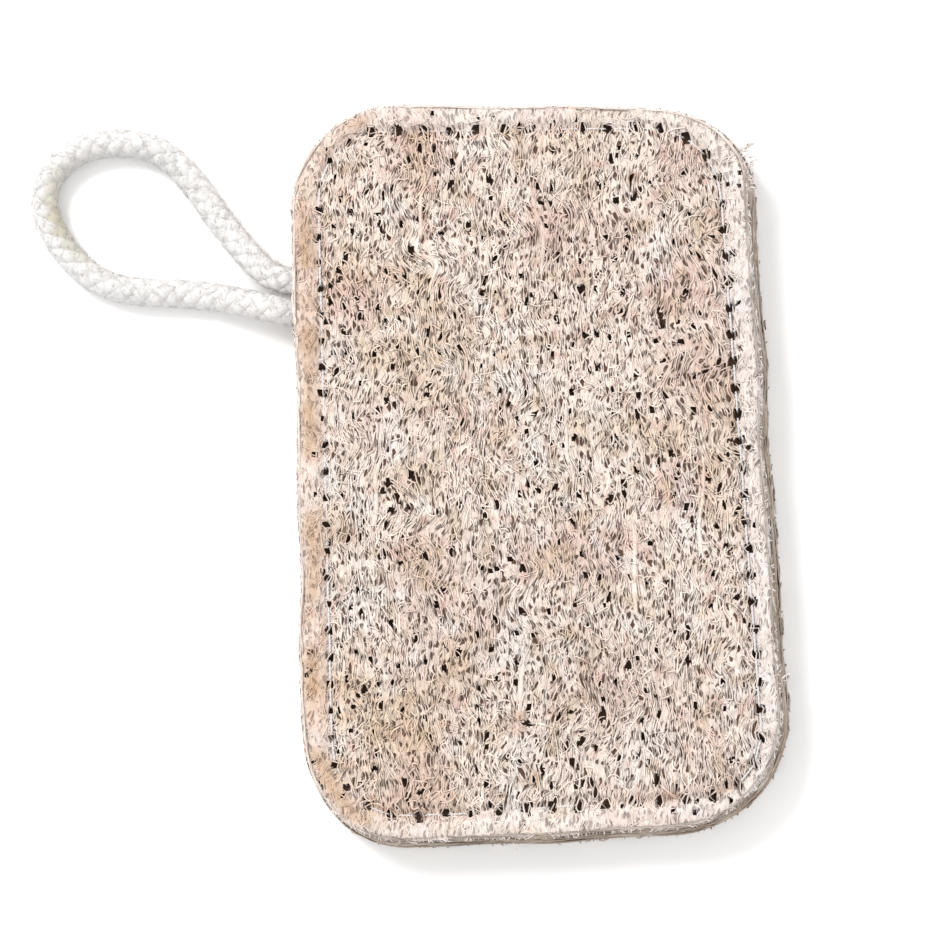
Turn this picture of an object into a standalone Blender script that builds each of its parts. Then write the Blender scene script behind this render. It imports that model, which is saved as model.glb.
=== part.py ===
"""Flat loofah scrubbing pad, sewn round its rim, with a braided cotton hanging loop.

Two sheets of flattened loofah lie face to face and are joined by one lockstitch seam.
The ends of the loop are caught between the sheets at the upper left and sewn in.
Metres, +Z up. The pad lies on the ground, its length runs along Y, and the loop lies at -X.
The origin is on the ground under the middle of the pad.
"""

import math
import random

import bmesh
import bpy
from mathutils import Matrix, Vector

# Pad
PAD_THICKNESS = 0.009
SHEET_GAP = 0.0003
STRAND_RELIEF = 0.0011
RIM_CHAMFER = 0.0015
BACK_MARGIN = 0.0008
CLEARANCE = 0.0003

# Hand-cut outline: its four corners before they are rounded, from the upper left, clockwise
CUT_CORNERS = ((-0.0364, 0.0553), (0.0315, 0.0525), (0.0372, -0.0527), (-0.0335, -0.0559))
CUT_RADII = (0.0155, 0.0130, 0.0165, 0.0155)
CUT_WOBBLES = ((6, 0.00012, 2.6), (11, 0.00012, 3.5), (13, 0.00009, 6.0), (21, 0.00006, 1.1))
CUT_STEP = 0.0045

# Seam: the same kind of outline, further in
SEAM_CORNERS = ((-0.0322, 0.0506), (0.0274, 0.0500), (0.0339, -0.0482), (-0.0292, -0.0520))
SEAM_RADII = (0.0095, 0.0110, 0.0090, 0.0110)
STITCHES = 78
GROOVE_DEPTH = 0.0014
GROOVE_HALF_WIDTH = 0.0012
NEEDLE_HOLE_RADIUS = 0.0009
NEEDLE_HOLE_SIDES = 4
THREAD_RADIUS = 0.00025
THREAD_LEG_OFFSET = 0.00033

# Loofah strands: two families that lean opposite ways and cross in long meshes
STRAND_PITCH = 0.0044
STRAND_SHIFT = 0.2 * STRAND_PITCH
STRAND_LEAN = math.radians(7)
STRAND_LEAN_SPREAD = math.radians(4)
STRAND_RADIUS = 0.0009
STRAND_RADIUS_SPREAD = 0.00015
THICK_STRAND_RADIUS = 0.0015
THICK_STRAND_EVERY = 5
STRAND_POINTS = 9
STRAND_WAVES = ((1.6, 0.0011), (3.3, 0.0005))
STRAND_STEP_DOWN = 0.0001
STRAND_OVERRUN = 0.006
FRONT_SEED = 11
BACK_SEED = 29

# Hanging loop: a braided cord, its ends laid side by side between the sheets
CORD_RADIUS = 0.0022
CORD_END_X = -0.0264
CORD_MID_Z = PAD_THICKNESS / 2
CORD_LOW_Z = CORD_RADIUS + 0.00015
CORD_DROP_FROM_X = -0.0387
CORD_DROP_TO_X = -0.0522
CORD_ROUTE = (
    (CORD_END_X, 0.0284),
    (-0.0312, 0.0284),
    (-0.0357, 0.0285),
    (-0.0396, 0.0298),
    (-0.0428, 0.0326),
    (-0.0459, 0.0362),
    (-0.0489, 0.0401),
    (-0.0515, 0.0438),
    (-0.0547, 0.0476),
    (-0.0588, 0.0501),
    (-0.0634, 0.0509),
    (-0.0680, 0.0504),
    (-0.0716, 0.0487),
    (-0.0742, 0.0458),
    (-0.0749, 0.0424),
    (-0.0740, 0.0384),
    (-0.0716, 0.0345),
    (-0.0678, 0.0307),
    (-0.0632, 0.0285),
    (-0.0585, 0.0278),
    (-0.0537, 0.0275),
    (-0.0492, 0.0270),
    (-0.0444, 0.0259),
    (-0.0397, 0.0248),
    (-0.0357, 0.0239),
    (-0.0312, 0.0236),
    (CORD_END_X, 0.0236),
)
CORD_POINTS = 44

# Fineness
ARC_STEP = 0.0018
FINE_STEP = 0.0005
SPANS_BETWEEN_POINTS = 12
ROUND_SIDES = 4
SQUARE_SIDES = 0
WELD_DISTANCE = 1e-6
SHARP_ANGLE = math.radians(40)

# Colours (linear) and roughness
LOOFAH_FRONT = ((0.64, 0.52, 0.44), 0.85)
LOOFAH_BACK = ((0.58, 0.47, 0.39), 0.85)
COTTON_CORD = ((0.86, 0.85, 0.84), 0.9)
COTTON_THREAD = ((0.88, 0.86, 0.84), 0.8)


def clear_scene():
    for obj in list(bpy.data.objects):
        bpy.data.objects.remove(obj)


def new_collection(name):
    made = bpy.data.collections.new(name)
    bpy.context.scene.collection.children.link(made)
    return made


def new_material(name, look):
    colour, roughness = look
    material = bpy.data.materials.new(name)
    material.use_nodes = True
    shader = material.node_tree.nodes["Principled BSDF"]
    shader.inputs["Base Color"].default_value = (*colour, 1)
    shader.inputs["Roughness"].default_value = roughness
    shader.inputs["Metallic"].default_value = 0
    return material


def rounded_quad(corners, radii, grow=0.0, step=ARC_STEP):
    """Points round a four-sided outline with arcs at its corners, clockwise, moved outwards by grow."""
    points = []
    for k, radius in enumerate(radii):
        corner = Vector(corners[k])
        before = (Vector(corners[k - 1]) - corner).normalized()
        after = (Vector(corners[(k + 1) % 4]) - corner).normalized()
        half_angle = before.angle(after) / 2
        centre = corner + (before + after).normalized() * radius / math.sin(half_angle)
        first = corner + before * radius / math.tan(half_angle) - centre
        turn = math.pi - 2 * half_angle
        steps = max(3, round(turn * radius / step))
        for i in range(steps + 1):
            spoke = Matrix.Rotation(-turn * i / steps, 2) @ first
            points.append(centre + spoke * (radius + grow) / radius)
    return points


def lengths_along(points):
    """Distance along a line from its first point to each of its points."""
    far = [0.0]
    for a, b in zip(points, points[1:]):
        far.append(far[-1] + (b - a).length)
    return far


def spread_points(points, distances):
    """The line's point at each distance, with the line's direction there."""
    far = lengths_along(points)
    made = []
    for distance in distances:
        k = next(i for i in range(len(points) - 1) if far[i + 1] >= distance or i == len(points) - 2)
        a, b = points[k], points[k + 1]
        made.append((a.lerp(b, (distance - far[k]) / (far[k + 1] - far[k])), (b - a).normalized()))
    return made


def spread_round(points, count, start=0.0):
    """Evenly spaced points round a closed line, with the line's direction at each."""
    ring = points + points[:1]
    length = lengths_along(ring)[-1]
    return spread_points(ring, [length * (i + start) / count for i in range(count)])


def cut_outline(grow=0.0):
    """The hand-cut outline, with a slight waviness, as evenly spaced points."""
    smooth = rounded_quad(CUT_CORNERS, CUT_RADII, grow, FINE_STEP)
    count = round(lengths_along(smooth)[-1] / CUT_STEP)
    made = []
    for i, (point, along) in enumerate(spread_round(smooth, count)):
        turn = 2 * math.pi * i / count
        outwards = Vector((-along.y, along.x))
        made.append(point + outwards * sum(a * math.sin(n * turn + p) for n, a, p in CUT_WOBBLES))
    return made


def seam_points():
    """Needle holes round the seam: each hole's place and the seam's direction there."""
    return spread_round(rounded_quad(SEAM_CORNERS, SEAM_RADII, step=FINE_STEP), STITCHES, 0.5)


def mesh_object(name, curve_object, collection):
    """A curve object turned into a mesh object with its caps welded."""
    bpy.context.view_layer.update()
    graph = bpy.context.evaluated_depsgraph_get()
    mesh = bpy.data.meshes.new_from_object(curve_object.evaluated_get(graph))
    place = curve_object.matrix_world.copy()
    bpy.data.objects.remove(curve_object)
    made = bpy.data.objects.new(name, mesh)
    made.matrix_world = place
    collection.objects.link(made)
    shape = bmesh.new()
    shape.from_mesh(mesh)
    bmesh.ops.remove_doubles(shape, verts=shape.verts, dist=WELD_DISTANCE)
    bmesh.ops.recalc_face_normals(shape, faces=shape.faces)
    shape.to_mesh(mesh)
    shape.free()
    return made


def plate(name, outlines, low, high, collection, chamfer=0.0):
    """A flat plate of one outline, or of an outline with a hole, between two heights."""
    curve = bpy.data.curves.new(name, "CURVE")
    curve.dimensions = "2D"
    curve.fill_mode = "BOTH"
    curve.extrude = (high - low) / 2 - chamfer
    curve.bevel_depth = chamfer
    curve.bevel_resolution = 0
    curve.offset = -chamfer
    for outline in outlines:
        spline = curve.splines.new("POLY")
        spline.points.add(len(outline) - 1)
        spline.use_cyclic_u = True
        for point, place in zip(spline.points, outline):
            point.co = (place.x, place.y, 0, 1)
    made = bpy.data.objects.new(name, curve)
    made.location.z = (low + high) / 2
    collection.objects.link(made)
    return mesh_object(name, made, collection)


def tube(name, route, radius, collection, sides, closed=False):
    """A tube along a route of points. A closed one joins its end to its start."""
    curve = bpy.data.curves.new(name, "CURVE")
    curve.dimensions = "3D"
    curve.twist_mode = "MINIMUM" if closed else "Z_UP"
    curve.bevel_depth = radius
    curve.bevel_resolution = sides
    curve.use_fill_caps = not closed
    spline = curve.splines.new("POLY")
    spline.points.add(len(route) - 1)
    spline.use_cyclic_u = closed
    for point, place in zip(spline.points, route):
        point.co = (*place, 1)
    made = bpy.data.objects.new(name, curve)
    collection.objects.link(made)
    return made


def apply_boolean(target, operation, operand):
    """Joins or cuts target with an object or a whole collection, and applies it."""
    modifier = target.modifiers.new(operation, "BOOLEAN")
    modifier.operation = operation
    modifier.solver = "MANIFOLD"
    if isinstance(operand, bpy.types.Collection):
        modifier.operand_type = "COLLECTION"
        modifier.collection = operand
    else:
        modifier.object = operand
    bpy.context.view_layer.update()
    graph = bpy.context.evaluated_depsgraph_get()
    mesh = bpy.data.meshes.new_from_object(target.evaluated_get(graph))
    target.modifiers.clear()
    target.data = mesh


def strand_routes(rng, z, up):
    """Centre lines of one sheet's strands, each with its radius."""
    half_length = max(y for _, y in CUT_CORNERS) + STRAND_OVERRUN
    half_width = max(x for x, _ in CUT_CORNERS) + half_length * math.tan(STRAND_LEAN)
    count = round(2 * half_width / STRAND_PITCH)
    made = []
    for family, lean_way in enumerate((-1, 1)):
        for k in range(count):
            middle = -half_width + (k + (1 + family) / 3) * STRAND_PITCH
            middle += rng.uniform(-1, 1) * STRAND_SHIFT
            lean = lean_way * STRAND_LEAN + rng.uniform(-1, 1) * STRAND_LEAN_SPREAD
            phases = [rng.uniform(0, 2 * math.pi) for _ in STRAND_WAVES]
            radius = STRAND_RADIUS + rng.uniform(-1, 1) * STRAND_RADIUS_SPREAD
            if (k + 2 * family) % THICK_STRAND_EVERY == 0:
                radius = THICK_STRAND_RADIUS
            route = []
            for i in range(STRAND_POINTS):
                share = i / (STRAND_POINTS - 1)
                y = half_length * (2 * share - 1)
                x = middle + y * math.tan(lean)
                for (turns, size), phase in zip(STRAND_WAVES, phases):
                    x += size * math.sin(2 * math.pi * turns * share + phase)
                route.append(Vector((x, y, z - up * STRAND_STEP_DOWN * family)))
            made.append((route, radius))
    return made


def add_strands(sheet, rng, z, up):
    """Raises the net of strands from the sheet's mat, as one Boolean union."""
    strands = new_collection(sheet.name + "_strands")
    for i, (route, radius) in enumerate(strand_routes(rng, z, up)):
        name = f"{sheet.name}_strand_{i}"
        mesh_object(name, tube(name, route, radius, strands, SQUARE_SIDES), strands)
    apply_boolean(sheet, "UNION", strands)
    for strand in list(strands.objects):
        bpy.data.objects.remove(strand)
    bpy.data.collections.remove(strands)


def make_sheet(name, up, margin, seed, collection, workshop):
    """One loofah sheet: a dense mat with raised strands on its outer face, cut to the outline."""
    outer = PAD_THICKNESS if up > 0 else 0.0
    inner = PAD_THICKNESS / 2 + up * SHEET_GAP / 2
    mat_face = outer - up * STRAND_RELIEF
    reach = PAD_THICKNESS + max(y for _, y in CUT_CORNERS)
    blank = [Vector((x * reach, y * reach)) for x, y in ((-1, -1), (1, -1), (1, 1), (-1, 1))]
    low, high = sorted((inner, mat_face))
    sheet = plate(name, [blank], low, high, collection)
    add_strands(sheet, random.Random(seed), mat_face, up)

    low, high = sorted((outer, outer - up * PAD_THICKNESS))
    die = plate(name + "_die", [cut_outline(margin)], low, high, workshop, RIM_CHAMFER)
    apply_boolean(sheet, "INTERSECT", die)

    rims = [rounded_quad(SEAM_CORNERS, SEAM_RADII, way * GROOVE_HALF_WIDTH) for way in (1, -1)]
    low, high = sorted((outer - up * GROOVE_DEPTH, outer + up * GROOVE_DEPTH))
    groove = plate(name + "_groove", rims, low, high, workshop)
    apply_boolean(sheet, "DIFFERENCE", groove)
    return sheet


def needle_holes():
    """Cutters for the needle holes, right through the pad."""
    holes = new_collection("needle_holes")
    for i, (place, along) in enumerate(seam_points()):
        bpy.ops.mesh.primitive_cylinder_add(
            vertices=NEEDLE_HOLE_SIDES,
            radius=NEEDLE_HOLE_RADIUS,
            depth=3 * PAD_THICKNESS,
            location=(place.x, place.y, PAD_THICKNESS / 2),
            rotation=(0, 0, math.atan2(along.y, along.x)),
        )
        hole = bpy.context.object
        hole.name = f"needle_hole_{i}"
        for owner in list(hole.users_collection):
            owner.objects.unlink(hole)
        holes.objects.link(hole)
    return holes


def smooth_curve(points):
    """Close points along a smooth curve through the given points (Catmull-Rom)."""
    ends = [points[0] * 2 - points[1], *points, points[-1] * 2 - points[-2]]
    made = []
    for a, b, c, d in zip(ends, ends[1:], ends[2:], ends[3:]):
        for i in range(SPANS_BETWEEN_POINTS):
            t = i / SPANS_BETWEEN_POINTS
            bend = (2 * a - 5 * b + 4 * c - d) * t**2 + (3 * b - a - 3 * c + d) * t**3
            made.append((2 * b + (c - a) * t + bend) / 2)
    return [*made, points[-1]]


def cord_height(x):
    """The cord leaves the pad at mid height, then comes down to lie on the ground."""
    share = (CORD_DROP_FROM_X - x) / (CORD_DROP_FROM_X - CORD_DROP_TO_X)
    share = min(1.0, max(0.0, share))
    ease = share * share * (3 - 2 * share)
    return CORD_MID_Z + (CORD_LOW_Z - CORD_MID_Z) * ease


def cord_route():
    """Evenly spaced points along the cord."""
    fine = smooth_curve([Vector((x, y, cord_height(x))) for x, y in CORD_ROUTE])
    length = lengths_along(fine)[-1]
    steps = CORD_POINTS - 1
    return [point for point, _ in spread_points(fine, [length * i / steps for i in range(CORD_POINTS)])]


def make_cord(collection):
    curve = tube("hanging_loop", cord_route(), CORD_RADIUS, collection, ROUND_SIDES)
    return mesh_object("hanging_loop", curve, collection)


def cord_channel(workshop):
    """Cutter for the cord's channel between the sheets: a fatter, slightly longer cord."""
    route = cord_route()
    route[0] += (route[0] - route[1]).normalized() * CLEARANCE
    route[-1] += (route[-1] - route[-2]).normalized() * CLEARANCE
    curve = tube("cord_channel", route, CORD_RADIUS + CLEARANCE, workshop, ROUND_SIDES)
    return mesh_object("cord_channel", curve, workshop)


def make_thread(name, up, collection):
    """One thread of the lockstitch: flat along its face, and down each needle hole to mid height."""
    face = PAD_THICKNESS if up > 0 else 0.0
    surface_z = face - up * (GROOVE_DEPTH - CLEARANCE - THREAD_RADIUS)
    middle_z = PAD_THICKNESS / 2 + up * (CLEARANCE / 2 + THREAD_RADIUS)
    route = []
    for place, along in seam_points():
        for leg, heights in ((-1, (surface_z, middle_z)), (1, (middle_z, surface_z))):
            spot = place + along * leg * THREAD_LEG_OFFSET
            route += [Vector((spot.x, spot.y, z)) for z in heights]
    return tube(name, route, THREAD_RADIUS, collection, SQUARE_SIDES, closed=True)


def finish(obj, material):
    obj.data.materials.clear()
    obj.data.materials.append(material)


def hide_cutters(*collections):
    for collection in collections:
        for cutter in collection.objects:
            cutter.hide_render = True
            cutter.display_type = "WIRE"


def main():
    clear_scene()
    pad = new_collection("loofah_pad")
    workshop = new_collection("cutters")
    front = make_sheet("front_sheet", 1, 0.0, FRONT_SEED, pad, workshop)
    back = make_sheet("back_sheet", -1, BACK_MARGIN, BACK_SEED, pad, workshop)
    cord = make_cord(pad)
    channel = cord_channel(workshop)
    holes = needle_holes()
    for sheet in (front, back):
        apply_boolean(sheet, "DIFFERENCE", channel)
        apply_boolean(sheet, "DIFFERENCE", holes)
    apply_boolean(cord, "DIFFERENCE", holes)
    cord.data.shade_smooth()
    cord.data.set_sharp_from_angle(angle=SHARP_ANGLE)
    finish(front, new_material("loofah_front", LOOFAH_FRONT))
    finish(back, new_material("loofah_back", LOOFAH_BACK))
    finish(cord, new_material("cotton_cord", COTTON_CORD))
    thread_material = new_material("cotton_thread", COTTON_THREAD)
    finish(make_thread("needle_thread", 1, pad), thread_material)
    finish(make_thread("bobbin_thread", -1, pad), thread_material)
    hide_cutters(workshop, holes)


main()
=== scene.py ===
"""Looks of the sewn loofah pad: matted plant fibres, lockstitch and braided cotton loop.

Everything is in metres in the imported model's frame, and every piece rides on its one body.
"""

import math

import bpy
import numpy as np
from mathutils import Matrix, Vector


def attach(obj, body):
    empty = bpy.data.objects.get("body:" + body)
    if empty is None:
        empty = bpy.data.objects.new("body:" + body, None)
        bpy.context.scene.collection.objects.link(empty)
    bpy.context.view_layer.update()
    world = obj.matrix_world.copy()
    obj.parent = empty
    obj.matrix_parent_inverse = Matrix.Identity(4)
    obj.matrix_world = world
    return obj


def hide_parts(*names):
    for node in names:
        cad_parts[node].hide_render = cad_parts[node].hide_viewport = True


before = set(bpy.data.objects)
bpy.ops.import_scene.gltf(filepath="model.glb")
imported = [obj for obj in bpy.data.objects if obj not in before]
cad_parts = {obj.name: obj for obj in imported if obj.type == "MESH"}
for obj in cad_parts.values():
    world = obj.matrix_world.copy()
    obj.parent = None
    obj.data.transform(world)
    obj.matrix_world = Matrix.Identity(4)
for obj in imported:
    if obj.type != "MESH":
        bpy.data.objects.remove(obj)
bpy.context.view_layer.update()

MM = 0.001
BODY = "root"

# Sizes repeated from the part's source
PAD_THICKNESS = 0.009
SHEET_GAP = 0.0003
BACK_MARGIN = 0.0008
CUT_CORNERS = ((-0.0364, 0.0553), (0.0315, 0.0525), (0.0372, -0.0527), (-0.0335, -0.0559))
CUT_RADII = (0.0155, 0.0130, 0.0165, 0.0155)
CUT_WOBBLES = ((6, 0.00012, 2.6), (11, 0.00012, 3.5), (13, 0.00009, 6.0), (21, 0.00006, 1.1))
SEAM_CORNERS = ((-0.0322, 0.0506), (0.0274, 0.0500), (0.0339, -0.0482), (-0.0292, -0.0520))
SEAM_RADII = (0.0095, 0.0110, 0.0090, 0.0110)
STITCHES = 78
FINE_STEP = 0.0005
CORD_RADIUS = 0.0022
CORD_END_X = -0.0264
CORD_MID_Z = PAD_THICKNESS / 2
CORD_LOW_Z = CORD_RADIUS + 0.00015
CORD_DROP_FROM_X = -0.0387
CORD_DROP_TO_X = -0.0522
CORD_ROUTE = (
    (CORD_END_X, 0.0284), (-0.0312, 0.0284), (-0.0357, 0.0285), (-0.0396, 0.0298), (-0.0428, 0.0326),
    (-0.0459, 0.0362), (-0.0489, 0.0401), (-0.0515, 0.0438), (-0.0547, 0.0476), (-0.0588, 0.0501),
    (-0.0634, 0.0509), (-0.0680, 0.0504), (-0.0716, 0.0487), (-0.0742, 0.0458), (-0.0749, 0.0424),
    (-0.0740, 0.0384), (-0.0716, 0.0345), (-0.0678, 0.0307), (-0.0632, 0.0285), (-0.0585, 0.0278),
    (-0.0537, 0.0275), (-0.0492, 0.0270), (-0.0444, 0.0259), (-0.0397, 0.0248), (-0.0357, 0.0239),
    (-0.0312, 0.0236), (CORD_END_X, 0.0236),
)

# Camera: the photograph's frame is square
CAMERA_TARGET = Vector((-0.0088, -0.0009, 0.0045))
CAMERA_SIDE = Vector((0.12, -0.12, 1.0))
CAMERA_DISTANCE = 0.55
CAMERA_LENS = 140.8

# Colours (linear)
CREAM = np.array((0.935, 0.815, 0.735))
PINK = np.array((0.80, 0.610, 0.535))
ROSE = np.array((0.66, 0.430, 0.360))
TAN = np.array((0.76, 0.590, 0.430))
WHITE = np.array((0.92, 0.880, 0.855))
STAIN = np.array((0.66, 0.440, 0.260))
MATTED = np.array((0.82, 0.755, 0.725))
# Painted shade: the colour of sides that face away from the light
SHADED_WALL = np.array((0.345, 0.280, 0.228))
# Painted shade: the inside of a sheet, seen through its meshes
MAT_PAINTED_SHADE = np.array((0.150, 0.085, 0.055))
# Painted shade: the slits between the fibres
SLIT_PAINTED_SHADE = (0.090, 0.048, 0.031)
COTTON = np.array((0.67, 0.658, 0.652))
THREAD = np.array((0.70, 0.680, 0.690))
OLIVE = np.array((0.46, 0.425, 0.320))


# Smooth seeded noise

NOISE_SIZE = 97


def mix_four(table, i0, i1, j0, j1, f, g):
    """A value between four of a table's, by its shares of the way along rows and columns."""
    low = table[i0, j0] * (1 - f) + table[i1, j0] * f
    high = table[i0, j1] * (1 - f) + table[i1, j1] * f
    return low * (1 - g) + high * g


def noise(x, y, wavelength, seed):
    """Smooth noise from -1 to 1 over the plane."""
    table = np.random.default_rng(seed).uniform(-1, 1, (NOISE_SIZE, NOISE_SIZE))
    u = np.asarray(x) / wavelength + 31.7
    v = np.asarray(y) / wavelength + 47.3
    i = np.floor(u).astype(int)
    j = np.floor(v).astype(int)
    f = u - i
    g = v - j
    f = f * f * f * (f * (6 * f - 15) + 10)
    g = g * g * g * (g * (6 * g - 15) + 10)
    return mix_four(table, i % NOISE_SIZE, (i + 1) % NOISE_SIZE, j % NOISE_SIZE, (j + 1) % NOISE_SIZE, f, g)


def ripple(far, row, wavelength, seed):
    """Smooth noise from -1 to 1 along a line, different in each row."""
    return noise(far, 0 * far + row, wavelength, seed)


def blend(a, b, share):
    """Mixes colour arrays by a share for each point."""
    share = np.clip(share, 0, 1)[..., None]
    return a * (1 - share) + b * share


def ease(value, low, high):
    share = np.clip((value - low) / (high - low), 0, 1)
    return share * share * (3 - 2 * share)


LATTICE_X = 0.0500
LATTICE_Y = 0.0680


class Lattice:
    """Values kept on a fine lattice over the pad, read back between its points."""

    def __init__(self, spacing):
        self.spacing, self.low_x, self.low_y = spacing, -LATTICE_X, -LATTICE_Y
        self.xs = np.arange(-LATTICE_X, LATTICE_X + spacing, spacing)
        self.ys = np.arange(-LATTICE_Y, LATTICE_Y + spacing, spacing)
        self.values = np.zeros((len(self.xs), len(self.ys)))

    def window(self, x, y, reach_x, reach_y):
        """The lattice's rows and columns round a point, with their places."""
        spans = []
        sides = ((x, reach_x, self.low_x, self.xs), (y, reach_y, self.low_y, self.ys))
        for place, reach, low, line in sides:
            first = max(0, int((place - reach - low) / self.spacing))
            last = min(len(line), int((place + reach - low) / self.spacing) + 2)
            spans.append(slice(first, last))
        rows, columns = spans
        return rows, columns, self.xs[rows, None], self.ys[None, columns]

    def at(self, x, y):
        u = np.clip((x - self.low_x) / self.spacing, 0, len(self.xs) - 1.001)
        v = np.clip((y - self.low_y) / self.spacing, 0, len(self.ys) - 1.001)
        i, j = u.astype(int), v.astype(int)
        return mix_four(self.values, i, i + 1, j, j + 1, u - i, v - j)


# Outlines

def rounded_quad(corners, radii, grow):
    """Points round a four-sided outline with arcs at its corners, clockwise, moved outwards by grow."""
    points = []
    for k, radius in enumerate(radii):
        corner = Vector(corners[k])
        before = (Vector(corners[k - 1]) - corner).normalized()
        after = (Vector(corners[(k + 1) % 4]) - corner).normalized()
        half_angle = before.angle(after) / 2
        centre = corner + (before + after).normalized() * radius / math.sin(half_angle)
        first = corner + before * radius / math.tan(half_angle) - centre
        turn = math.pi - 2 * half_angle
        steps = max(3, round(turn * radius / FINE_STEP))
        for i in range(steps + 1):
            spoke = Matrix.Rotation(-turn * i / steps, 2) @ first
            points.append(centre + spoke * (radius + grow) / radius)
    return np.array([(p.x, p.y) for p in points])


def far_along(points):
    steps = np.linalg.norm(np.diff(points, axis=0), axis=1)
    return np.concatenate(([0.0], np.cumsum(steps)))


def along_line(points, distances):
    """The line's points at the given distances."""
    far = far_along(points)
    return np.stack([np.interp(distances, far, points[:, k]) for k in range(points.shape[1])], 1)


def square_gaps(x, y, points):
    """Squared distance from each place to each of the points."""
    gaps = (x[:, None] - points[None, :, 0]) ** 2
    gaps += (y[:, None] - points[None, :, 1]) ** 2
    return gaps


class Ring:
    """A closed clockwise outline of evenly spaced points with outward directions."""

    def __init__(self, corners, radii, grow=0.0, wobbles=(), count=760, start=0.0):
        self.lattice = None
        smooth = rounded_quad(corners, radii, grow)
        closed = np.vstack((smooth, smooth[:1]))
        self.length = far_along(closed)[-1]
        self.points = along_line(closed, self.length * (np.arange(count) + start) / count)
        self.set_outwards()
        turn = 2 * np.pi * np.arange(count) / count
        shift = sum(a * np.sin(n * turn + p) for n, a, p in wobbles) + np.zeros(count)
        self.points = self.points + self.outwards * shift[:, None]
        self.set_outwards()

    def set_outwards(self):
        along = np.roll(self.points, -1, 0) - np.roll(self.points, 1, 0)
        along = along / np.linalg.norm(along, axis=1, keepdims=True)
        self.outwards = np.stack((-along[:, 1], along[:, 0]), 1)

    def at(self, distance):
        """Point and outward direction at a distance along the ring, which may pass its start."""
        place = np.asarray(distance) / self.length * len(self.points)
        i = np.floor(place).astype(int)
        f = (place - i)[..., None]
        a, b = i % len(self.points), (i + 1) % len(self.points)
        point = self.points[a] * (1 - f) + self.points[b] * f
        out = self.outwards[a] * (1 - f) + self.outwards[b] * f
        return point, out / np.linalg.norm(out, axis=-1, keepdims=True)

    def measure(self):
        """Keeps the distance inside the ring on a lattice."""
        lattice = Lattice(0.4 * MM)
        grid_x, grid_y = np.meshgrid(lattice.xs, lattice.ys, indexing="ij")
        flat = np.stack((grid_x.ravel(), grid_y.ravel()), 1)
        made = np.empty(len(flat))
        for first in range(0, len(flat), 4000):
            some = flat[first:first + 4000]
            near = np.argmin(square_gaps(some[:, 0], some[:, 1], self.points), axis=1)
            made[first:first + 4000] = -((some - self.points[near]) * self.outwards[near]).sum(1)
        lattice.values = made.reshape(grid_x.shape)
        return lattice

    def inside(self, x, y):
        """Distance inside the ring, negative outside it."""
        if self.lattice is None:
            self.lattice = self.measure()
        return self.lattice.at(np.asarray(x), np.asarray(y))


FRONT_RING = Ring(CUT_CORNERS, CUT_RADII, 0.0, CUT_WOBBLES)
BACK_RING = Ring(CUT_CORNERS, CUT_RADII, BACK_MARGIN, CUT_WOBBLES)
SEAM_RING = Ring(SEAM_CORNERS, SEAM_RADII)
NEEDLE_RING = Ring(SEAM_CORNERS, SEAM_RADII, count=STITCHES, start=0.5)

# Meshes from strands

FLOOR_CLEAR = 0.02 * MM


class Strands:
    """Gathers strands: centre lines with a radius, a colour and an outward direction at each point.

    Each point also has its place in the straight net, which the slits between the fibres follow.
    """

    def __init__(self):
        self.points, self.radii, self.tints, self.ups, self.sizes, self.places = [], [], [], [], [], []

    def add(self, points, radii, tints, up=(0, 0, 1), places=None):
        count = len(points)
        if count < 2:
            return
        self.points.append(np.asarray(points))
        self.places.append(np.asarray(points)[:, :2] if places is None else places)
        self.radii.append(np.broadcast_to(radii, (count,)))
        self.tints.append(np.broadcast_to(tints, (count, 3)))
        self.ups.append(np.broadcast_to(up, (count, 3)))
        self.sizes.append(count)


def unit(v):
    return v / np.maximum(np.linalg.norm(v, axis=-1, keepdims=True), 1e-12)


def raw_mesh(verts, loops, starts, tints, strength=1.0, places=None):
    """A mesh with a colour, a strength and a place in the straight net at each vertex."""
    mesh = bpy.data.meshes.new("piece")
    for part, key, values in (
        (mesh.vertices, "co", verts.astype(np.float32)),
        (mesh.loops, "vertex_index", loops.astype(np.int32)),
        (mesh.polygons, "loop_start", starts.astype(np.int32)),
    ):
        part.add(len(values))
        part.foreach_set(key, values.ravel())
    mesh.polygons.foreach_set("use_smooth", np.ones(len(starts), dtype=bool))
    mesh.update(calc_edges=True)
    colours = np.ones((len(verts), 4), dtype=np.float32)
    colours[:, :3] = tints
    colours[:, 3] = strength
    mesh.color_attributes.new("Tint", "FLOAT_COLOR", "POINT").data.foreach_set("color", colours.ravel())
    flat = np.zeros((len(verts), 3), dtype=np.float32)
    flat[:, :2] = verts[:, :2] if places is None else places
    mesh.attributes.new("Place", "FLOAT_VECTOR", "POINT").data.foreach_set("vector", flat.ravel())
    return mesh


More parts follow.
